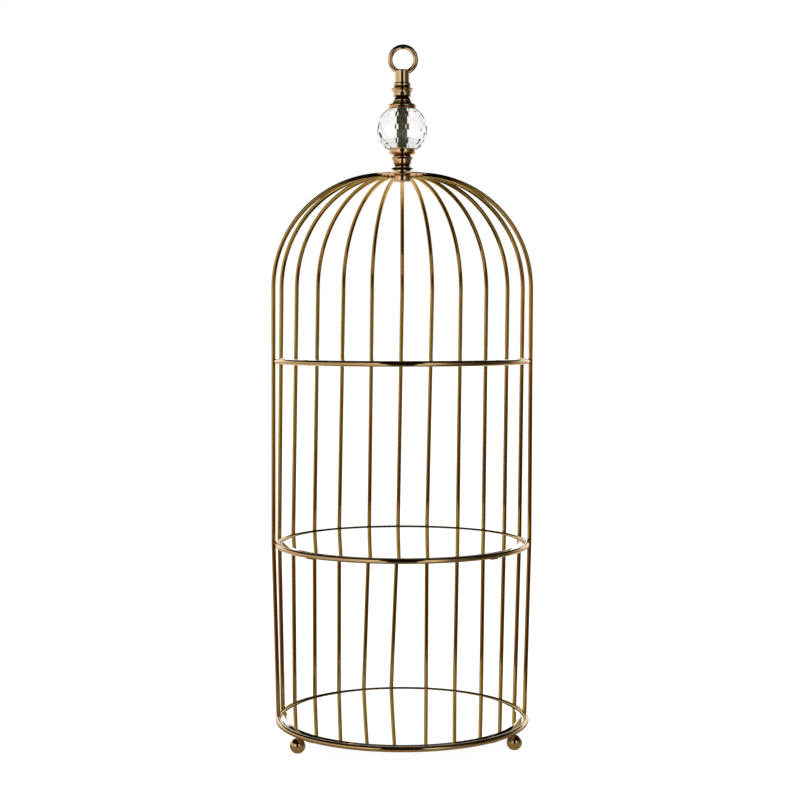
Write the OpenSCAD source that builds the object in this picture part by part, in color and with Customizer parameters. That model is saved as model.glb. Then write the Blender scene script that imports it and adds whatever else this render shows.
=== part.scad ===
// Three-tier birdcage display stand: thirteen brazed wire bars round the back half of three
// mirror-topped rings, a slotted crown disc, and a turned finial with a cut-glass ball and a loop.
// Z is up, the origin is on the floor under the centre, and the open front faces -Y.

/* [Cage] */
// Outside diameter of the tier rings
ring_d = 253; // [200:1:320]
// Thickness of the round rod in the rings
ring_rod_d = 5.2; // [4:0.1:8]
// Thickness of the upright bars
bar_d = 4.2; // [3:0.1:5]
// Angle between neighbouring bars
bar_pitch = 14.5; // [12:0.5:15]
// Height of the middle ring's centre above the floor
middle_height = 192.9; // [150:0.1:240]
// Height of the top ring's centre above the floor
top_height = 374.8; // [300:0.1:460]
// Height where the bars leave their straight run and curve in
spring_height = 447.4; // [370:0.1:560]
// Distance from the stand's axis at which the bars come level under the crown disc
level_r = 16.55; // [14:0.05:19]

/* [Shelves] */
// Thickness of each mirror plate
plate_thickness = 4; // [3:0.5:6]
// Gap between a mirror plate and the ring round it
plate_gap = 1.5; // [0.5:0.1:3]
// How far a plate's face lies below the top of its ring
plate_drop = 0.4; // [0:0.1:1]
// Width of the bevel round a plate
bevel_width = 4; // [1:0.1:6]
// Depth of the bevel round a plate
bevel_depth = 1.1; // [0.4:0.1:1.5]
// Width of each rest tab
tab_width = 9; // [5:0.5:14]
// Thickness of each rest tab
tab_thickness = 1.2; // [1:0.1:2.5]
// How far a rest tab reaches in under its plate
tab_reach = 8; // [4:0.5:14]
// Gap left under a plate that lies on its tabs
seat_gap = 0.05; // [0:0.05:0.5]

/* [Feet] */
// Diameter of each ball foot
foot_d = 15; // [10:0.5:22]

/* [Crown] */
// Diameter of the disc that gathers the bars
crown_d = 49; // [44:0.5:70]
// Thickness of the crown disc
crown_thickness = 1.2; // [0.8:0.1:2]
// Radius at which the bars end in the disc's slots
bar_end_r = 20.5; // [19.5:0.1:21.5]
// Outside diameter of the nut under the disc
nut_d = 17.7; // [12:0.1:24]
// Height of the nut under the disc
nut_height = 6.7; // [5:0.1:12]

/* [Finial] */
// Diameter of the threaded rod through the finial
rod_d = 6; // [4:0.1:6.6]
// Gap between the rod and the pieces that slide over it
rod_gap = 0.2; // [0.1:0.05:0.4]
// Diameter of the glass ball
ball_d = 50; // [42:0.5:60]
// Height of the glass ball between its two ground flats
ball_height = 38; // [30:0.1:42]
// Diameter of the hole through the glass ball
ball_bore_d = 7.4; // [7:0.1:10]
// Diameter of the turned neck under the lower cup
neck_d = 20; // [17.5:0.5:24]
// Height of the turned neck and its foot
neck_height = 16.6; // [15:0.1:24]
// Diameter of the cup under the glass ball
cup_d = 26.8; // [24:0.1:29]
// Diameter of the cup on top of the glass ball
upper_cup_d = 28.4; // [24:0.1:29]
// Height of each cup
cup_height = 7.9; // [5:0.1:10]
// Height of the turned collar above the upper cup
collar_height = 18.7; // [18.5:0.1:26]
// Diameter of the widest rim of that collar
collar_d = 22.4; // [20:0.1:26]
// Diameter of the stem that carries the loop
stem_d = 14.3; // [12:0.1:16]
// Height of the stem that carries the loop
stem_height = 12.7; // [11:0.1:16]
// Outside diameter of the loop
loop_d = 30.1; // [26:0.1:40]
// Thickness of the loop's round wire
loop_wire_d = 4.9; // [3.5:0.1:5.5]
// How far the loop leans to the right, in degrees
loop_lean = 3; // [0:0.5:5]
// Height of the loop's lowest point above the stem's foot
loop_rise = 7.6; // [4:0.1:8]

/* [Hidden] */
$fn = 72;

bar_count = 13;
// How far each bar, from left to right, is turned about the axis where it crosses the middle
// ring and where it stands on the base ring. The cage is bent and brazed by hand, so they differ.
middle_turn = [-3, -4, -3.5, -2.5, -2.5, -1.5, -2, -2.5, -1.5, -1.5, -2, -3, -2];
foot_turn = [-4, -6, -6, -4.5, -4, -5, -5.5, -2.5, -2, -1, -2, -3.5, -2];
// Where the three feet stand, as angles from the front towards the right
foot_angles = [-54, 61, 183];
// Where the rest tabs sit round each ring
tab_angles = [45, 135, 225, 315];
// How much lower than plate_drop the hand-brazed tabs leave the plate, from the base tier up
tier_sag = [0, 0.5, -plate_drop];

// Brazed pieces that meet on a curve sink this far into each other
braze_bite = 0.15;
// A bar's bends are smoothed by a ball this much larger than the bar
elbow_extra = 0.03;
// Rim of every turned edge
edge = 0.6;

ring_r = (ring_d - ring_rod_d) / 2;
bar_r = ring_d / 2 + bar_d / 2 - braze_bite;
dome_arc_r = bar_r - level_r;
bar_end_angle = acos((bar_end_r - level_r) / dome_arc_r);
base_height = foot_d + ring_rod_d / 2 - braze_bite;
plate_r = ring_d / 2 - ring_rod_d - plate_gap;
plate_top = ring_rod_d / 2 - plate_drop;
plate_bottom = plate_top - plate_thickness;

crown_z = spring_height + dome_arc_r * sin(bar_end_angle) - crown_thickness / 2;
neck_z = crown_z + crown_thickness;
lower_cup_z = neck_z + neck_height;
ball_z = lower_cup_z + cup_height;
upper_cup_z = ball_z + ball_height;
collar_z = upper_cup_z + cup_height;
stem_z = collar_z + collar_height;
loop_z = stem_z + loop_rise + loop_d / 2;
rod_bottom = crown_z - nut_height + edge;
rod_top = stem_z + loop_rise / 2;

gold = [0.76, 0.58, 0.33];
silvered = [0.86, 0.88, 0.9];
glass = [0.9, 0.94, 0.95];
steel = [0.6, 0.6, 0.62];

// A point at a radius, an angle from the back towards the right, and a height
function around(r, angle, z) = [r * sin(angle), r * cos(angle), z];
function bar_angle(k) = (k - (bar_count + 1) / 2) * bar_pitch;

module rod_between(a, b, r) {
    run = b - a;
    translate(a)
        rotate([0, acos(run[2] / norm(run)), atan2(run[1], run[0])])
            cylinder(h = norm(run), r = r);
}

module elbow(p) {
    translate(p)
        sphere(r = bar_d / 2 + elbow_extra);
}

module ring_rod(z) {
    translate([0, 0, z])
        rotate_extrude()
            translate([ring_r, 0])
                circle(d = ring_rod_d);
}

// The curved top of a bar, from one angle of its arc to the end in the crown disc
module dome_arc(k, from) {
    rotate([0, 0, 90 - bar_angle(k)])
        translate([level_r, 0, spring_height])
            rotate([90, 0, 0])
                rotate([0, 0, from])
                    rotate_extrude(angle = bar_end_angle - from)
                        translate([dome_arc_r, 0])
                            circle(d = bar_d);
}

// One bar: it stands on the base ring, touches the middle and top rings and curves to the crown
module bar(k) {
    angle = bar_angle(k);
    foot = around(ring_r, angle + foot_turn[k - 1], base_height);
    crossing = around(bar_r, angle + middle_turn[k - 1], middle_height);
    spring = around(bar_r, angle, spring_height);
    color(gold)
        difference() {
            union() {
                rod_between(foot, crossing, bar_d / 2);
                elbow(crossing);
                rod_between(crossing, spring, bar_d / 2);
                elbow(spring);
                dome_arc(k, 0);
            }
            ring_rod(base_height);
        }
}

module tier_ring(z) {
    color(gold)
        ring_rod(z);
}

// Four small plates brazed inside a ring for the mirror to rest on
module tier_tabs(z, sag) {
    tab_inner = plate_r - tab_reach;
    tab_bottom = z + plate_bottom - sag - seat_gap - tab_thickness;
    color(gold)
        for (angle = tab_angles)
            difference() {
                rotate([0, 0, angle])
                    translate([tab_inner, -tab_width / 2, tab_bottom])
                        cube([ring_r - tab_inner, tab_width, tab_thickness]);
                ring_rod(z);
            }
}

module tier_mirror(z, sag) {
    color(silvered)
        translate([0, 0, z + plate_bottom - sag])
            rotate_extrude($fn = 180)
                polygon([[0, 0], [plate_r, 0], [plate_r, plate_thickness - bevel_depth],
                    [plate_r - bevel_width, plate_thickness], [0, plate_thickness]]);
}

module ball_foot(angle) {
    color(gold)
        translate([ring_r * sin(angle), -ring_r * cos(angle), foot_d / 2])
            sphere(d = foot_d);
}

// A turned piece with a hole through it: its outline is given as [radius, height] points
module turned(outline, hole_r) {
    top = outline[len(outline) - 1][1];
    color(gold)
        rotate_extrude()
            polygon(concat([[hole_r, 0]], outline, [[hole_r, top]]));
}

module crown_disc() {
    color(gold)
        difference() {
            translate([0, 0, crown_z])
                cylinder(h = crown_thickness, d = crown_d);
            translate([0, 0, crown_z - crown_thickness])
                cylinder(h = 3 * crown_thickness, r = rod_d / 2 + rod_gap);
            for (k = [1:bar_count])
                dome_arc(k, bar_end_angle - 6);
        }
}

module crown_nut() {
    r = nut_d / 2;
    translate([0, 0, crown_z - nut_height])
        turned([[r - edge, 0], [r, edge], [r, nut_height - edge], [r - edge, nut_height]], rod_d / 2);
}

module finial_rod() {
    color(steel)
        translate([0, 0, rod_bottom])
            cylinder(h = rod_top - rod_bottom, d = rod_d);
}

// The foot on the disc, a bevelled rim, a groove and a flared neck
module lower_neck() {
    r = neck_d / 2;
    foot = 3.2;
    rim = foot + 2;
    groove = rim + 2.2;
    flare = groove + 2.7;
    translate([0, 0, neck_z])
        turned([[r - 1.7, 0], [r - 1.5, 0.4], [r - 1.5, foot], [r - 1, foot + 0.8],
            [r + 0.9, rim - 0.3], [r + 1.1, rim], [r + 0.6, rim + 0.4], [r - 1.6, rim + 0.7],
            [r - 1.7, rim + 1.6], [r - 2.4, groove], [r - 2.5, groove + 1.5],
            [r - 1.2, groove + 2.2], [r - 1.1, flare], [r - 0.5, flare + 3.1],
            [r + 0.7, neck_height - 1.2], [r + 1, neck_height - 1], [r + 1, neck_height - 0.3],
            [r - 1.2, neck_height]],
            rod_d / 2 + rod_gap);
}

// A shallow cup on a short foot, mouth up
module cup(d) {
    r = d / 2;
    turned([[r - 4.9, 0], [r - 4.9, 1.2], [r - 2.1, 2.2], [r - 0.4, 3.2], [r, 4.1],
        [r - 0.4, cup_height - 0.8], [r - 1.1, cup_height]], rod_d / 2 + rod_gap);
}

module lower_cup() {
    translate([0, 0, lower_cup_z])
        cup(cup_d);
}

module upper_cup() {
    translate([0, 0, upper_cup_z + cup_height])
        mirror([0, 0, 1])
            cup(upper_cup_d);
}

module crystal_ball() {
    color(glass)
        translate([0, 0, ball_z])
            difference() {
                intersection() {
                    translate([0, 0, ball_height / 2])
                        sphere(d = ball_d);
                    cylinder(h = ball_height, d = ball_d + 2);
                }
                translate([0, 0, -1])
                    cylinder(h = ball_height + 2, d = ball_bore_d);
            }
}

// A collar with a cone and a waist, a sharp rim, a groove and a round bead above
module upper_collar() {
    r = collar_d / 2;
    waist = 5.6;
    rim = 12;
    bead = collar_height - 4;
    translate([0, 0, collar_z])
        turned([[r - 2.6, 0], [r - 2.3, 0.4], [r - 2.3, 1.6], [r - 2.9, 2], [r - 4.8, waist - 0.4],
            [r - 2.5, waist], [r - 2.4, waist + 3.4], [r - 1.8, rim - 1.8], [r - 0.6, rim - 0.4],
            [r, rim], [r - 0.2, rim + 0.8], [r - 0.8, rim + 1.1], [r - 3, bead - 0.6],
            [r - 4, bead - 0.3], [r - 4, bead + 0.1], [r - 2.9, bead + 0.5],
            [r - 2.5, bead + 1.3], [r - 2.5, bead + 2.9], [r - 3, bead + 3.6],
            [r - 3.6, collar_height]],
            rod_d / 2 + rod_gap);
}

// The loop leans about its lowest point
module loop_torus() {
    translate([0, 0, loop_z - loop_d / 2])
        rotate([0, loop_lean, 0])
            translate([0, 0, loop_d / 2])
                rotate([90, 0, 0])
                    rotate_extrude()
                        translate([(loop_d - loop_wire_d) / 2, 0])
                            circle(d = loop_wire_d);
}

// The stem is saddled over the loop, which passes through it
module loop_stem() {
    r = stem_d / 2;
    color(gold)
        translate([0, 0, stem_z])
            difference() {
                rotate_extrude()
                    polygon([[0, 0], [r, 0], [r, stem_height - 1.2], [r - 0.5, stem_height - 0.5],
                        [r - 1.6, stem_height], [0, stem_height]]);
                translate([0, 0, -1])
                    cylinder(h = rod_top - stem_z + 1, d = rod_d);
                translate([0, 0, -stem_z])
                    loop_torus();
            }
}

module hanging_loop() {
    color(gold)
        loop_torus();
}

bar(1);  // bar_01
bar(2);  // bar_02
bar(3);  // bar_03
bar(4);  // bar_04
bar(5);  // bar_05
bar(6);  // bar_06
bar(7);  // bar_07
bar(8);  // bar_08
bar(9);  // bar_09
bar(10);  // bar_10
bar(11);  // bar_11
bar(12);  // bar_12
bar(13);  // bar_13
tier_ring(base_height);  // base_ring
tier_ring(middle_height);  // middle_ring
tier_ring(top_height);  // top_ring
tier_tabs(base_height, tier_sag[0]);  // base_tabs
tier_tabs(middle_height, tier_sag[1]);  // middle_tabs
tier_tabs(top_height, tier_sag[2]);  // top_tabs
tier_mirror(base_height, tier_sag[0]);  // base_mirror
tier_mirror(middle_height, tier_sag[1]);  // middle_mirror
tier_mirror(top_height, tier_sag[2]);  // top_mirror
ball_foot(foot_angles[0]);  // front_left_foot
ball_foot(foot_angles[1]);  // front_right_foot
ball_foot(foot_angles[2]);  // rear_foot
crown_disc();
crown_nut();
finial_rod();
lower_neck();
lower_cup();
crystal_ball();
upper_cup();
upper_collar();
loop_stem();
hanging_loop();
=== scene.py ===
"""Looks of the three-tier birdcage stand: gold wire, turned finial, cut crystal, mirrors and light."""
import math

import bmesh
import bpy
from mathutils import Matrix, Vector, noise


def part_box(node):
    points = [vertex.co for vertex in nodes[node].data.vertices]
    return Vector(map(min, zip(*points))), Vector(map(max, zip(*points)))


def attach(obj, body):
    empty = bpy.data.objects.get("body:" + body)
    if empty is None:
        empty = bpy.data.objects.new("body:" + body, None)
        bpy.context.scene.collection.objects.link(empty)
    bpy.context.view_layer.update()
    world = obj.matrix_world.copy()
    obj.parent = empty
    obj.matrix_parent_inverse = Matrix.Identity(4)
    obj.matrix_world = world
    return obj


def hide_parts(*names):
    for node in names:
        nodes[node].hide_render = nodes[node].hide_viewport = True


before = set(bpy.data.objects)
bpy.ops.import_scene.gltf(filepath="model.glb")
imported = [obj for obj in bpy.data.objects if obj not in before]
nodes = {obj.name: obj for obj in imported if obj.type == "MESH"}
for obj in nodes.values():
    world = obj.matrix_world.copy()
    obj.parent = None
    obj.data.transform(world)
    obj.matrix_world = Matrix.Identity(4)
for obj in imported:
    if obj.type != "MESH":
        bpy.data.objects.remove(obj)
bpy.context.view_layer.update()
MM = 0.001

BARS = [f"bar_{k:02d}" for k in range(1, 14)]
TIERS = ["base", "middle", "top"]
FEET = ["front_left_foot", "front_right_foot", "rear_foot"]


# ---------------------------------------------------------------- node helpers

class Nodes:
    """Short calls for building one node tree."""

    def __init__(self, tree):
        self.tree = tree
        tree.nodes.clear()

    def add(self, kind, inputs=None, **settings):
        node = self.tree.nodes.new(kind)
        for key, value in settings.items():
            setattr(node, key, value)
        for key, value in (inputs or {}).items():
            if isinstance(value, bpy.types.NodeSocket):
                self.tree.links.new(value, node.inputs[key])
            else:
                node.inputs[key].default_value = value
        return node

    def math(self, operation, *values):
        node = self.add("ShaderNodeMath", dict(enumerate(values)), operation=operation)
        return node.outputs[0]

    def noise(self, place, scale, detail=2.0, roughness=0.5):
        inputs = {"Vector": place, "Scale": scale, "Detail": detail, "Roughness": roughness}
        return self.add("ShaderNodeTexNoise", inputs).outputs["Fac"]

    def ramp(self, value, *stops):
        """Colours or greys by value: each stop is (position, grey or (r, g, b))."""
        node = self.add("ShaderNodeValToRGB", {"Fac": value})
        ramp = node.color_ramp
        while len(ramp.elements) < len(stops):
            ramp.elements.new(1.0)
        for element, (position, colour) in zip(ramp.elements, stops):
            element.position = position
            rgb = colour if isinstance(colour, tuple) else (colour, colour, colour)
            element.color = (*rgb, 1.0)
        return node.outputs["Color"]

    def mix(self, fac, a, b, blend="MIX"):
        node = self.add("ShaderNodeMix", data_type="RGBA", blend_type=blend)
        for socket, value in ((node.inputs[0], fac), (node.inputs[6], a), (node.inputs[7], b)):
            if isinstance(value, bpy.types.NodeSocket):
                self.tree.links.new(value, socket)
            else:
                socket.default_value = value if socket.type == "VALUE" else (*value, 1.0)
        return node.outputs[2]

    def bump(self, height, strength, distance):
        inputs = {"Height": height, "Strength": strength, "Distance": distance}
        return self.add("ShaderNodeBump", inputs).outputs["Normal"]


def material(name):
    """A new material, its nodes, and the object-space place of each surface point."""
    made = bpy.data.materials.new(name)
    made.use_nodes = True
    tree = Nodes(made.node_tree)
    place = tree.add("ShaderNodeTexCoord").outputs["Object"]
    return made, tree, place


def surface(tree, inputs):
    shader = tree.add("ShaderNodeBsdfPrincipled", inputs)
    tree.add("ShaderNodeOutputMaterial", {"Surface": shader.outputs["BSDF"]})


# ---------------------------------------------------------------- materials

def gold(name, light, deep, smoothness, ripple):
    """Polished gold plate: cloudy tone, faint wiping haze and the soft ripple of a buffed metal."""
    made, tree, place = material(name)
    cloud = tree.noise(place, 22.0, detail=4.0)
    speck = tree.noise(place, 900.0, detail=3.0)
    tone = tree.ramp(cloud, (0.3, deep), (0.7, light))
    worn = tree.ramp(speck, (0.3, 0.86), (0.6, 1.0))
    colour = tree.mix(1.0, tone, worn, "MULTIPLY")
    haze = tree.noise(place, 130.0, detail=5.0, roughness=0.6)
    rough = tree.ramp(haze, (0.3, smoothness), (0.75, smoothness + 0.05))
    wave = tree.noise(place, 260.0, detail=3.0)
    surface(tree, {
        "Base Color": colour,
        "Metallic": 1.0,
        "Roughness": rough,
        "Normal": tree.bump(wave, ripple, 0.0003),
    })
    return made


def braze():
    """The fillets that join the wires: the same plate over a duller, lumpier metal."""
    made, tree, place = material("brazed_gold")
    lump = tree.noise(place, 1400.0, detail=4.0)
    colour = tree.ramp(lump, (0.3, (0.42, 0.27, 0.11)), (0.7, (0.72, 0.52, 0.27)))
    rough = tree.ramp(lump, (0.3, 0.38), (0.7, 0.22))
    surface(tree, {
        "Base Color": colour,
        "Metallic": 1.0,
        "Roughness": rough,
        "Normal": tree.bump(lump, 0.5, 0.0002),
    })
    return made


def painted_dark_bands():
    """Near-black brown metal on the given turned bands: painted shade under the flares and in the
    grooves, and painted reflection of the dark ceiling on the up-facing slopes.
    """
    made, tree, place = material("painted_shade_bands")
    patch = tree.noise(place, 600.0, detail=4.0)
    colour = tree.ramp(patch, (0.3, (0.035, 0.014, 0.006)), (0.75, (0.16, 0.085, 0.035)))
    surface(tree, {
        "Base Color": colour,
        "Metallic": 1.0,
        "Roughness": tree.ramp(patch, (0.3, 0.3), (0.7, 0.18)),
        "Normal": tree.bump(patch, 0.1, 0.0002),
    })
    return made


def steel():
    """The plain threaded rod, dulled with oil in the thread."""
    made, tree, place = material("rod_steel")
    stain = tree.noise(place, 350.0, detail=4.0)
    colour = tree.ramp(stain, (0.3, (0.16, 0.14, 0.09)), (0.7, (0.36, 0.33, 0.24)))
    rough = tree.ramp(stain, (0.3, 0.5), (0.7, 0.33))
    surface(tree, {"Base Color": colour, "Metallic": 1.0, "Roughness": rough})
    return made


def crystal():
    """Lead-clear cut glass with the faintest polishing marks."""
    made, tree, place = material("cut_crystal")
    mark = tree.noise(place, 500.0, detail=3.0)
    rough = tree.ramp(mark, (0.4, 0.0), (0.8, 0.02))
    surface(tree, {
        "Base Color": (0.985, 0.995, 0.99, 1.0),
        "Roughness": rough,
        "IOR": 1.52,
        "Transmission Weight": 1.0,
        "Normal": tree.bump(mark, 0.02, 0.0001),
    })
    return made


def bore_painted_shade():
    """The drilled wall of the glass, left ground; its dark olive colour is painted shade and painted
    reflection of the rod in the bore.
    """
    made, tree, place = material("ground_glass_painted_shade")
    grit = tree.noise(place, 900.0, detail=4.0)
    colour = tree.ramp(grit, (0.3, (0.055, 0.048, 0.022)), (0.7, (0.10, 0.09, 0.048)))
    surface(tree, {
        "Base Color": colour,
        "Roughness": tree.ramp(grit, (0.3, 0.6), (0.7, 0.45)),
        "Specular IOR Level": 0.15,
        "Normal": tree.bump(grit, 0.3, 0.0002),
    })
    return made


def mirror_face():
    made, tree, place = material("mirror_silver")
    wave = tree.noise(place, 9.0, detail=2.0)
    dust = tree.noise(place, 700.0, detail=5.0, roughness=0.7)
    colour = tree.ramp(wave, (0.3, (0.93, 0.945, 0.94)), (0.7, (0.96, 0.965, 0.965)))
    rough = tree.ramp(dust, (0.55, 0.004), (0.85, 0.05))
    surface(tree, {
        "Base Color": colour,
        "Metallic": 1.0,
        "Roughness": rough,
        "Normal": tree.bump(wave, 0.03, 0.001),
    })
    return made


def mirror_edge():
    """The arris of the plate: polished float glass, green where it is thick."""
    made, tree, place = material("mirror_arris")
    grain = tree.noise(place, 1200.0, detail=3.0)
    colour = tree.ramp(grain, (0.3, (0.20, 0.27, 0.23)), (0.7, (0.36, 0.44, 0.39)))
    surface(tree, {
        "Base Color": colour,
        "Roughness": tree.ramp(grain, (0.3, 0.10), (0.7, 0.22)),
        "Coat Weight": 0.6,
        "Coat Roughness": 0.04,
    })
    return made


def mirror_back():
    """Grey backing paint with roller stipple."""
    made, tree, place = material("mirror_backing")
    stipple = tree.noise(place, 650.0, detail=4.0)
    patch = tree.noise(place, 14.0, detail=3.0)
    tint = tree.ramp(patch, (0.3, (0.045, 0.042, 0.04)), (0.7, (0.075, 0.07, 0.066)))
    surface(tree, {
        "Base Color": tint,
        "Roughness": tree.ramp(stipple, (0.3, 0.5), (0.7, 0.72)),
        "Normal": tree.bump(stipple, 0.35, 0.0003),
    })
    return made


# Light tone, deep tone, roughness and ripple of each gold finish
BAR = gold("bar_gold", (0.66, 0.45, 0.11), (0.54, 0.35, 0.075), 0.03, 0.04)
RING = gold("ring_gold", (0.80, 0.61, 0.34), (0.70, 0.49, 0.23), 0.03, 0.04)
TURNED = gold("turned_gold", (0.97, 0.77, 0.50), (0.90, 0.65, 0.36), 0.03, 0.03)
BRAZE = braze()
PAINTED_DARK_BANDS = painted_dark_bands()
STEEL = steel()
CRYSTAL = crystal()
BORE_PAINTED_SHADE = bore_painted_shade()
MIRROR = mirror_face()
ARRIS = mirror_edge()
BACKING = mirror_back()


# ---------------------------------------------------------------- mesh helpers

def piece(name, bm, body, slot, *finishes):
    """Makes one piece from a bmesh, with its finishes, riding on a CAD body."""
    bmesh.ops.recalc_face_normals(bm, faces=bm.faces[:])
    mesh = bpy.data.meshes.new(name)
    bm.to_mesh(mesh)
    bm.free()
    for finish in finishes:
        mesh.materials.append(finish)
    made = bpy.data.objects.new(name, mesh)
    bpy.context.scene.collection.objects.link(made)
    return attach(made, body)


def smooth(made, angle=35):
    made.data.shade_smooth()
    made.data.set_sharp_from_angle(angle=math.radians(angle))
    return made


def softened(outline, steps=6):
    """Rounds the corners of an outline of (radius, height, rounding) points, all in millimetres."""
    out = []
    last = len(outline) - 1
    for i, (r, h, rounding) in enumerate(outline):
        corner = Vector((r, h))
        if rounding == 0 or i in (0, last):
            out.append(corner)
            continue
        before = Vector(outline[i - 1][:2]) - corner
        after = Vector(outline[i + 1][:2]) - corner
        a = corner + before.normalized() * min(rounding, 0.45 * before.length)
        b = corner + after.normalized() * min(rounding, 0.45 * after.length)
        for s in range(steps + 1):
            t = s / steps
            out.append(a * (1 - t) ** 2 + corner * 2 * t * (1 - t) + b * t ** 2)
    return out


def revolved(outline, z):
    """A bmesh turned round Z from (radius, height) points in millimetres, closed along its bore."""
    segments = 96
    bm = bmesh.new()
    loops = []
    for r, h in outline:
        ring = []
        for s in range(segments):
            a = 2 * math.pi * s / segments
            ring.append(bm.verts.new((r * MM * math.cos(a), r * MM * math.sin(a), z + h * MM)))
        loops.append(ring)
    for low, high in zip(loops, loops[1:] + loops[:1]):
        for s in range(segments):
            t = (s + 1) % segments
            bm.faces.new((low[s], low[t], high[t], high[s]))
    return bm


# Faces nearer the bore than this, in millimetres, stay plain gold
BORE_WALL = 0.5


def turned(node, outline, hole, dark=(), flip=False):
    """Replaces a turned CAD node by a smooth lathed piece, painted near-black (painted shade and painted
    reflection) between the heights given as bands.
    """
    low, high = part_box(node)
    height = (high.z - low.z) / MM
    points = softened([(hole, 0, 0), *outline, (hole, height, 0)])
    if flip:
        points = [Vector((p.x, height - p.y)) for p in points]
        dark = [(height - b, height - a) for a, b in dark]
    bm = revolved(points, low.z)
    for face in bm.faces:
        middle = face.calc_center_median()
        level = (middle.z - low.z) / MM
        outside = middle.to_2d().length > (hole + BORE_WALL) * MM
        face.material_index = int(outside and any(a < level < b for a, b in dark))
    # The second finish is the near-black painted shade and painted reflection of the bands
    made = piece("turned_" + node, bm, "stand", "gold_plate", TURNED, PAINTED_DARK_BANDS)
    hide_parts(node)
    return smooth(made)


def centre_at(node, z):
    """Middle of an upright wire where it crosses a height."""
    bm = bmesh.new()
    bm.from_mesh(nodes[node].data)
    everything = bm.verts[:] + bm.edges[:] + bm.faces[:]
    cut = bmesh.ops.bisect_plane(bm, geom=everything, plane_co=(0, 0, z), plane_no=(0, 0, 1))
    points = [v.co.copy() for v in cut["geom_cut"] if isinstance(v, bmesh.types.BMVert)]
    bm.free()
    xs = [p.x for p in points]
    ys = [p.y for p in points]
    return Vector(((min(xs) + max(xs)) / 2, (min(ys) + max(ys)) / 2, z))


def meniscus(bm, start, end, pull):
    """Adds a closed fillet between two loops of points, drawn in at its waist by a share of its width."""
    rows = 5
    count = len(start)
    middle = sum(start + end, Vector()) / (2 * count)
    rings = []
    for row in range(rows + 1):
        s = row / rows
        hollow = 1 - pull * 4 * s * (1 - s)
        ring = []
        for a, b in zip(start, end):
            p = a.lerp(b, s)
            ring.append(bm.verts.new(middle + (p - middle) * hollow))
        rings.append(ring)
    for low, high in zip(rings, rings[1:]):
        for i in range(count):
            j = (i + 1) % count
            bm.faces.new((low[i], low[j], high[j], high[i]))
    bm.faces.new(rings[0])
    bm.faces.new(rings[-1])


# ---------------------------------------------------------------- the cage

FINISHES = {bar: BAR for bar in BARS}
FINISHES.update({tier + "_ring": RING for tier in TIERS})
FINISHES.update({tier + "_tabs": BAR for tier in TIERS})
FINISHES.update({foot: RING for foot in FEET})
FINISHES.update({"crown_disc": RING, "loop_stem": TURNED, "hanging_loop": TURNED})
for node_name, finish in FINISHES.items():
    mesh = nodes[node_name].data
    mesh.materials.clear()
    mesh.materials.append(finish)

ring_low, ring_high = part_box("middle_ring")
ring_rod = (ring_high.z - ring_low.z) / 2
ring_r = ring_high.x - ring_rod
bar_rod = 2.1 * MM
TIER_Z = {t: sum(corner.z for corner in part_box(t + "_ring")) / 2 for t in TIERS}
FILLET_POINTS = 28
SINK = 0.06 * MM


def wobble(place, amount):
    """A small uneven factor, the same every run."""
    per_metre = 900
    return 1 + amount * noise.noise(place * per_metre)


def side_fillet(bm, bar, z):
    """Braze between an upright bar and the ring that it touches from outside."""
    half_width = 1.8 * MM
    half_height = 2.05 * MM
    centre = centre_at(bar, z)
    bar_r = centre.to_2d().length
    out = Vector((centre.x, centre.y, 0)).normalized()
    across = Vector((-out.y, out.x, 0))
    on_ring = []
    on_bar = []
    for i in range(FILLET_POINTS):
        a = 2 * math.pi * i / FILLET_POINTS
        size = wobble(centre + across * math.cos(a) * MM + Vector((0, 0, math.sin(a) * MM)), 0.12)
        t = half_width * math.cos(a) * size
        h = half_height * math.sin(a) * size
        ring_reach = ring_r + math.sqrt(ring_rod ** 2 - h ** 2) - SINK
        bar_reach = bar_r - math.sqrt(bar_rod ** 2 - t ** 2) + SINK
        along = across * t + Vector((0, 0, z + h))
        on_ring.append(out * ring_reach + along)
        on_bar.append(out * bar_reach + along)
    meniscus(bm, on_ring, on_bar, pull=0.16)


def foot_fillet(bm, bar, z):
    """Braze round the foot of a bar that stands on the base ring."""
    half_radial = 2.35 * MM
    half_side = 2.9 * MM
    climb = 0.75 * MM
    collar = bar_rod * 0.97
    clear_of_ring = 0.4 * MM
    centre = centre_at(bar, z + ring_rod + clear_of_ring)
    out = Vector((centre.x, centre.y, 0)).normalized()
    across = Vector((-out.y, out.x, 0))
    on_ring = []
    on_bar = []
    for i in range(FILLET_POINTS):
        a = 2 * math.pi * i / FILLET_POINTS
        radial = half_radial * math.cos(a)
        side = half_side * math.sin(a) * wobble(centre + across * math.sin(a) * MM, 0.1)
        drop = math.sqrt(ring_rod ** 2 - radial ** 2)
        on_ring.append(out * (ring_r + radial) + across * side + Vector((0, 0, z + drop - SINK)))
        ring_top = math.sqrt(max(0.0, ring_rod ** 2 - (bar_rod * math.cos(a)) ** 2))
        wall = out * (collar * math.cos(a)) + across * (collar * math.sin(a))
        on_bar.append(out * ring_r + wall + Vector((0, 0, z + ring_top + climb)))
    shift = centre - out * ring_r
    shift.z = 0
    aside = shift - out * shift.dot(out)
    meniscus(bm, [p + aside for p in on_ring], [p + shift for p in on_bar], pull=0.08)


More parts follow.
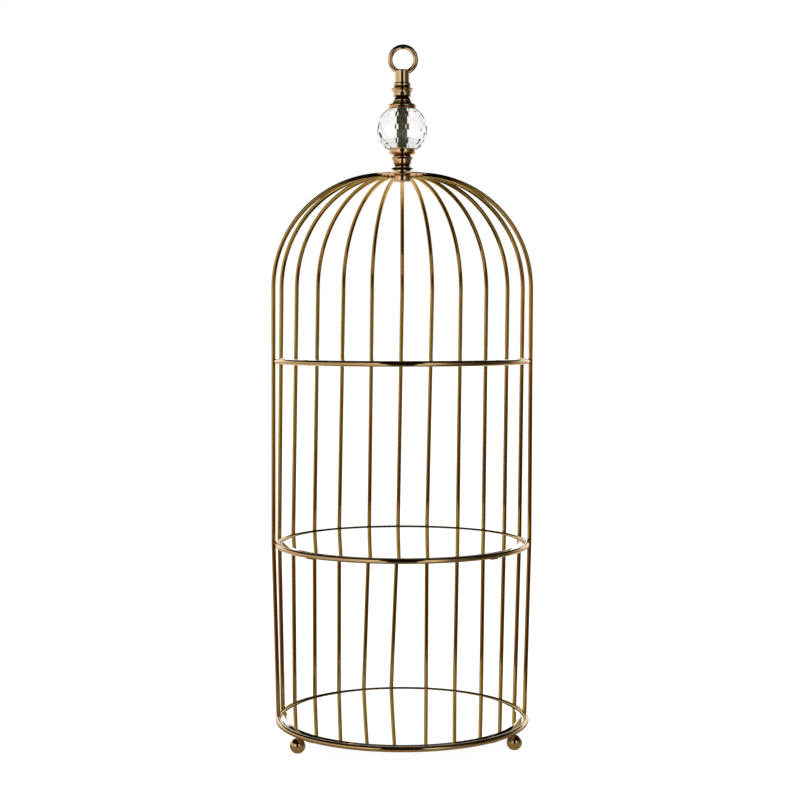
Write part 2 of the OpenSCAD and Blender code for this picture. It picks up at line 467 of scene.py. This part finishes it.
def ball_fillet(bm, foot):
    """Braze between a ball foot and the base ring that rests on it."""
    half_radial = 2.0 * MM
    half_side = 3.4 * MM
    low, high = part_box(foot)
    centre = (low + high) / 2
    ball = (high.z - low.z) / 2
    out = Vector((centre.x, centre.y, 0)).normalized()
    across = Vector((-out.y, out.x, 0))
    on_ring = []
    on_ball = []
    for i in range(FILLET_POINTS):
        a = 2 * math.pi * i / FILLET_POINTS
        size = wobble(centre + across * math.sin(a) * 2 * MM, 0.15)
        radial = half_radial * math.cos(a) * size
        side = half_side * math.sin(a) * size
        under = TIER_Z["base"] - math.sqrt(ring_rod ** 2 - radial ** 2) + SINK
        over = centre.z + math.sqrt(ball ** 2 - radial ** 2 - side ** 2) - SINK
        base = out * (centre.to_2d().length + radial) + across * side
        on_ring.append(base + Vector((0, 0, under)))
        on_ball.append(base + Vector((0, 0, over)))
    meniscus(bm, on_ring, on_ball, pull=0.12)


for tier in ("middle", "top"):
    joints = bmesh.new()
    for bar in BARS:
        side_fillet(joints, bar, TIER_Z[tier])
    smooth(piece(f"braze_{tier}_ring", joints, "stand", "gold_plate", BRAZE), 60)

joints = bmesh.new()
for bar in BARS:
    foot_fillet(joints, bar, TIER_Z["base"])
for foot in FEET:
    ball_fillet(joints, foot)
smooth(piece("braze_base_ring", joints, "stand", "gold_plate", BRAZE), 60)


# ---------------------------------------------------------------- mirror plates

def mirror_plate(tier):
    """A bevelled plate: silvered face and bevel, polished arris, painted back."""
    low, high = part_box(tier + "_mirror")
    thick = (high.z - low.z) / MM
    r = high.x / MM
    bevel_w = 4.0
    bevel_d = 1.1
    arris = 0.35
    facing_up = 0.2
    facing_down = -0.9
    outline = [
        (0, 0, 0), (r - arris, 0, 0.2), (r, arris, 0.2), (r, thick - bevel_d, 0.15),
        (r - bevel_w, thick, 0.1), (0, thick, 0)]
    points = softened(outline, steps=3)
    segments = 288
    bm = bmesh.new()
    rings = []
    for p in points[1:-1]:
        ring = []
        for s in range(segments):
            a = 2 * math.pi * s / segments
            ring.append(bm.verts.new((p.x * MM * math.cos(a), p.x * MM * math.sin(a), low.z + p.y * MM)))
        rings.append(ring)
    for inner, outer in zip(rings, rings[1:]):
        for s in range(segments):
            t = (s + 1) % segments
            bm.faces.new((inner[s], inner[t], outer[t], outer[s]))
    bm.faces.new(rings[0])
    bm.faces.new(rings[-1])
    bmesh.ops.recalc_face_normals(bm, faces=bm.faces[:])
    for face in bm.faces:
        if face.normal.z > facing_up:
            face.material_index = 0
        elif face.normal.z < facing_down:
            face.material_index = 2
        else:
            face.material_index = 1
    made = piece(f"{tier}_plate", bm, tier + "_shelf", "mirror_glass", MIRROR, ARRIS, BACKING)
    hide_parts(tier + "_mirror")
    smooth(made, 8)


for tier in TIERS:
    mirror_plate(tier)


# ---------------------------------------------------------------- finial

# Outlines are (radius, height, rounding) in millimetres, from the foot up
ROD_HOLE = 3.2
NUT_HOLE = 3.0
turned("crown_nut", [
    (8.2, 0, 0.4), (8.85, 0.7, 0.5), (8.85, 6.0, 0.5), (8.2, 6.7, 0.4)], NUT_HOLE)

# A foot, a thin rim, a groove and a flared neck under a flange; its dark bands are painted shade and
# painted reflection
turned("lower_neck", [
    (8.3, 0, 0.1), (8.5, 0.4, 0.2), (8.5, 3.2, 0.4), (9.0, 4.0, 0.4), (10.9, 4.9, 0.3),
    (11.1, 5.2, 0.2), (10.6, 5.6, 0.3), (8.4, 5.9, 0.2), (8.3, 6.8, 0.4), (7.6, 7.4, 0.4),
    (7.5, 8.9, 0.4), (8.8, 9.6, 0.3), (8.9, 10.1, 0.3), (9.5, 13.2, 2.0), (10.7, 15.4, 0.4),
    (11.0, 15.6, 0.15), (11.0, 16.3, 0.3), (8.8, 16.6, 0)], ROD_HOLE,
    dark=[(3.2, 4.8), (7.1, 9.4)])


def cup(node, r, dark, flip):
    """A short foot under a flat shoulder and a rounded wall."""
    turned(node, [
        (r - 4.9, 0, 0), (r - 4.9, 1.2, 0.25), (r - 2.1, 2.2, 0.8), (r - 0.4, 3.2, 0.6),
        (r, 4.1, 0.5), (r - 0.4, 7.1, 0.5), (r - 1.1, 7.9, 0.2)], ROD_HOLE, dark, flip)


# The dark bands on the cup feet are painted shade and painted reflection
cup("lower_cup", 13.4, [(-0.1, 1.5)], False)
cup("upper_cup", 14.2, [(-0.1, 0.5), (1.1, 2.6)], True)

# A cone, a waist, a sharp rim, a groove and a round bead; its dark bands are painted reflection of the
# dark ceiling and painted shade
turned("upper_collar", [
    (8.6, 0, 0.2), (8.9, 0.4, 0.3), (8.9, 1.6, 0.4), (8.3, 2.0, 0.4), (6.4, 5.2, 0.3),
    (8.7, 5.6, 0.3), (8.8, 9.0, 1.2), (9.4, 10.2, 0.8), (10.6, 11.6, 0.5), (11.2, 12.0, 0.25),
    (11.0, 12.8, 0.3), (10.4, 13.1, 0.4), (8.2, 14.1, 0.3), (7.2, 14.4, 0.2), (7.2, 14.8, 0.2),
    (8.3, 15.2, 0.3), (8.7, 16.0, 0.5), (8.7, 17.6, 0.5), (8.2, 18.3, 0.2),
    (7.6, 18.7, 0.1)], ROD_HOLE,
    dark=[(-0.1, 0.7), (1.9, 6.2), (13.1, 15.0), (18.1, 18.8)])


def threaded_rod():
    """The rod with its thread cut as a helix."""
    low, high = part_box("finial_rod")
    crest = high.x
    depth = 0.5 * MM
    pitch = 1.0 * MM
    around = 24
    per_turn = 6
    rows = int((high.z - low.z) / pitch * per_turn)
    bm = bmesh.new()
    rings = []
    for row in range(rows + 1):
        z = low.z + (high.z - low.z) * row / rows
        ring = []
        for s in range(around):
            turn = s / around
            phase = ((z - low.z) / pitch - turn) % 1.0
            r = crest - depth * abs(2 * phase - 1)
            a = 2 * math.pi * turn
            ring.append(bm.verts.new((r * math.cos(a), r * math.sin(a), z)))
        rings.append(ring)
    for lower, upper in zip(rings, rings[1:]):
        for s in range(around):
            t = (s + 1) % around
            bm.faces.new((lower[s], lower[t], upper[t], upper[s]))
    bm.faces.new(rings[0])
    bm.faces.new(rings[-1])
    made = piece("threaded_rod", bm, "stand", "rod_steel", STEEL)
    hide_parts("finial_rod")
    smooth(made, 50)


def cut_ball():
    """The glass ball: flat facets ground in seven staggered rows, two flats and a drilled bore."""
    low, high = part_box("crystal_ball")
    centre = (low + high) / 2
    radius = high.x
    half = (high.z - low.z) / 2
    facets = 16
    row_pitch = 15.5
    first_turn = -2.0
    ground = 0.982
    bore_r = 3.7 * MM
    bore_wall_r = bore_r * 1.02
    bm = bmesh.new()
    bmesh.ops.create_cube(bm, size=2.5 * radius)
    planes = [(Vector((0, 0, 1)), half), (Vector((0, 0, -1)), half)]
    for row in range(-3, 4):
        lat = math.radians(row * row_pitch)
        for s in range(facets):
            step = s + (0.5 if row % 2 else 0.0)
            a = math.radians(first_turn + 360 / facets * step)
            normal = Vector((math.sin(a) * math.cos(lat), -math.cos(a) * math.cos(lat), math.sin(lat)))
            planes.append((normal, radius * ground))
    for normal, reach in planes:
        everything = bm.verts[:] + bm.edges[:] + bm.faces[:]
        cut = bmesh.ops.bisect_plane(
            bm, geom=everything, plane_co=normal * reach, plane_no=normal, clear_outer=True, dist=1e-7)
        edges = [e for e in cut["geom_cut"] if isinstance(e, bmesh.types.BMEdge)]
        if len(edges) >= 3:
            bmesh.ops.contextual_create(bm, geom=edges)
    bmesh.ops.translate(bm, verts=bm.verts[:], vec=centre)
    made = piece("cut_ball", bm, "stand", "cut_crystal", CRYSTAL, BORE_PAINTED_SHADE)
    bore = bmesh.new()
    bmesh.ops.create_cone(
        bore, cap_ends=True, segments=64, radius1=bore_r, radius2=bore_r, depth=3 * half,
        matrix=Matrix.Translation(centre))
    drill_mesh = bpy.data.meshes.new("drill")
    bore.to_mesh(drill_mesh)
    bore.free()
    drill = bpy.data.objects.new("drill", drill_mesh)
    bpy.context.scene.collection.objects.link(drill)
    cutter = made.modifiers.new("bore", "BOOLEAN")
    cutter.operation = "DIFFERENCE"
    cutter.solver = "EXACT"
    cutter.object = drill
    bpy.context.view_layer.update()
    drilled = bpy.data.meshes.new_from_object(made.evaluated_get(bpy.context.evaluated_depsgraph_get()))
    made.modifiers.clear()
    made.data = drilled
    bpy.data.objects.remove(drill)
    # Bore faces take the dark olive painted shade and painted reflection of the rod
    for face in made.data.polygons:
        off_axis = (face.center - centre).to_2d().length
        face.material_index = int(off_axis < bore_wall_r and abs(face.normal.z) < 0.5)
        face.use_smooth = face.material_index == 1
    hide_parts("crystal_ball")


threaded_rod()
cut_ball()


# ---------------------------------------------------------------- floor, light and camera

def floor():
    """A white floor; near the stand the metal sees it as a warm, darker table top."""
    table_r = 0.28
    clear_r = 0.34
    made, tree, place = material("pale_floor")
    grain = tree.noise(place, 60.0, detail=3.0)
    colour = tree.ramp(grain, (0.3, 0.26), (0.7, 0.27))
    plain = tree.add("ShaderNodeBsdfPrincipled", {
        "Base Color": colour,
        "Roughness": 0.9,
        "Specular IOR Level": 0.0,
        "Emission Color": (1.0, 1.0, 1.0, 1.0),
        "Emission Strength": 0.95,
    })
    away = tree.add("ShaderNodeVectorMath", {0: place}, operation="LENGTH").outputs["Value"]
    table = tree.ramp(away, (table_r, (0.26, 0.2, 0.12)), (clear_r, (0.0, 0.0, 0.0)))
    clear = tree.ramp(away, (table_r, 0.0), (clear_r, 1.0))
    glow = tree.add("ShaderNodeEmission", {"Color": table}).outputs[0]
    open_air = tree.add("ShaderNodeBsdfTransparent").outputs[0]
    near = tree.add("ShaderNodeMixShader", {0: clear, 1: glow, 2: open_air}).outputs[0]
    glossy = tree.add("ShaderNodeLightPath").outputs["Is Glossy Ray"]
    shown = tree.add("ShaderNodeMixShader", {0: glossy, 1: plain.outputs["BSDF"], 2: near})
    tree.add("ShaderNodeOutputMaterial", {"Surface": shown.outputs[0]})
    bm = bmesh.new()
    bmesh.ops.create_grid(bm, x_segments=2, y_segments=2, size=30.0)
    mesh = bpy.data.meshes.new("floor")
    bm.to_mesh(mesh)
    bm.free()
    mesh.materials.append(made)
    plane = bpy.data.objects.new("floor", mesh)
    bpy.context.scene.collection.objects.link(plane)
    plane.visible_transmission = False


def dark_cap(tree, ray, lean, half_angle):
    """How far a direction lies inside a cone that leans from straight up towards the back."""
    softness = 0.02
    a = math.radians(lean)
    axis = (0.0, math.sin(a), math.cos(a))
    dot = tree.add("ShaderNodeVectorMath", {0: ray, 1: axis}, operation="DOT_PRODUCT")
    limit = math.cos(math.radians(half_angle))
    half = tree.math("MULTIPLY_ADD", dot.outputs["Value"], 0.5, 0.5)
    return tree.ramp(half, (0.5 + (limit - softness) / 2, 0.0), (0.5 + (limit + softness) / 2, 1.0))


WHITE = (1.0, 0.99, 0.97)
WARM = (1.0, 0.92, 0.8)
# Brightness of the surroundings by degrees from the front, left negative and right positive
WALL = [
    (-180, 1.15, WHITE), (-150, 1.1, WHITE), (-125, 0.75, WARM), (-97, 0.6, WARM), (-60, 0.62, WARM),
    (-30, 0.95, WARM), (-15.5, 1.1, WHITE), (-14, 0.0, WHITE), (14, 0.0, WHITE), (15.5, 1.15, WHITE),
    (32, 0.85, WARM), (45, 0.2, WARM), (75, 0.04, WARM), (112, 0.1, WARM), (140, 0.75, WHITE),
    (155, 1.1, WHITE), (180, 1.15, WHITE)]
# Dark gaps in front: share by height (0.5 is level), share by turn (0.5 is the camera's side), colour
GAPS = [
    ([(0.41, 0.0), (0.43, 1.0), (0.515, 1.0), (0.535, 0.0)],
     [(0.422, 0.0), (0.435, 1.0), (0.565, 1.0), (0.58, 0.0)], (0.02, 0.014, 0.008)),
    ([(0.41, 0.0), (0.43, 1.0), (0.465, 1.0), (0.485, 0.0)],
     [(0.39, 0.0), (0.405, 1.0), (0.595, 1.0), (0.61, 0.0)], (0.04, 0.012, 0.006)),
    ([(0.525, 0.0), (0.535, 1.0)],
     [(0.44, 0.0), (0.447, 1.0), (0.553, 1.0), (0.56, 0.0)], (0.012, 0.008, 0.005))]
# Tint of the surroundings by height, from the table up to level
BELOW = [
    (0.39, (0.9, 0.84, 0.78)), (0.42, (0.66, 0.5, 0.46)), (0.475, (0.66, 0.5, 0.46)),
    (0.495, (1.0, 1.0, 1.0))]


def studio():
    """White to the eye; in the metal, a lit wall with dark gaps in front and a dark ceiling."""
    world = bpy.data.worlds.new("studio")
    bpy.context.scene.world = world
    world.use_nodes = True
    tree = Nodes(world.node_tree)
    ray = tree.add("ShaderNodeTexCoord").outputs["Generated"]
    axes = tree.add("ShaderNodeSeparateXYZ", {"Vector": ray}).outputs
    toward = tree.math("MULTIPLY", axes["Y"], -1.0)
    azimuth = tree.math("ARCTAN2", axes["X"], toward)
    turn = tree.math("MULTIPLY_ADD", azimuth, 0.5 / math.pi, 0.5)
    height = tree.math("MULTIPLY_ADD", tree.math("ARCSINE", axes["Z"]), 1 / math.pi, 0.5)
    stops = [(0.5 + degrees / 360, tuple(level * c for c in tint)) for degrees, level, tint in WALL]
    wall = tree.ramp(turn, *stops)
    for by_height, by_turn, colour in GAPS:
        share = tree.math("MULTIPLY", tree.ramp(height, *by_height), tree.ramp(turn, *by_turn))
        wall = tree.mix(share, wall, colour)
    round_about = tree.mix(1.0, wall, tree.ramp(height, *BELOW), "MULTIPLY")
    ceiling = dark_cap(tree, ray, lean=8.0, half_angle=62.0)
    glossy = tree.mix(ceiling, round_about, (0.006, 0.004, 0.003))
    path = tree.add("ShaderNodeLightPath").outputs
    whiteness = 0.8
    inside = tree.mix(whiteness, glossy, (1.06, 1.06, 1.06))
    bounced = tree.mix(path["Is Transmission Ray"], glossy, inside)
    other = tree.mix(path["Is Glossy Ray"], (1.0, 1.0, 1.0), bounced)
    seen = tree.mix(path["Is Camera Ray"], other, (1.0, 1.0, 1.0))
    back = tree.add("ShaderNodeBackground", {"Color": seen, "Strength": 1.0})
    tree.add("ShaderNodeOutputWorld", {"Surface": back.outputs[0]})


def camera():
    """Above the stand's middle, 1.6 m in front of its axis, looking slightly down."""
    tilt_down = 2.64
    turn_left = 0.078
    data = bpy.data.cameras.new("camera")
    data.lens = 72.467
    data.sensor_width = 36.0
    data.clip_end = 100.0
    made = bpy.data.objects.new("camera", data)
    made.location = (0.0, -1.6001, 0.40983)
    made.rotation_euler = (math.radians(90 - tilt_down), 0.0, math.radians(turn_left))
    bpy.context.scene.collection.objects.link(made)
    bpy.context.scene.camera = made


floor()
studio()
camera()
bpy.context.scene.view_settings.view_transform = "Standard"
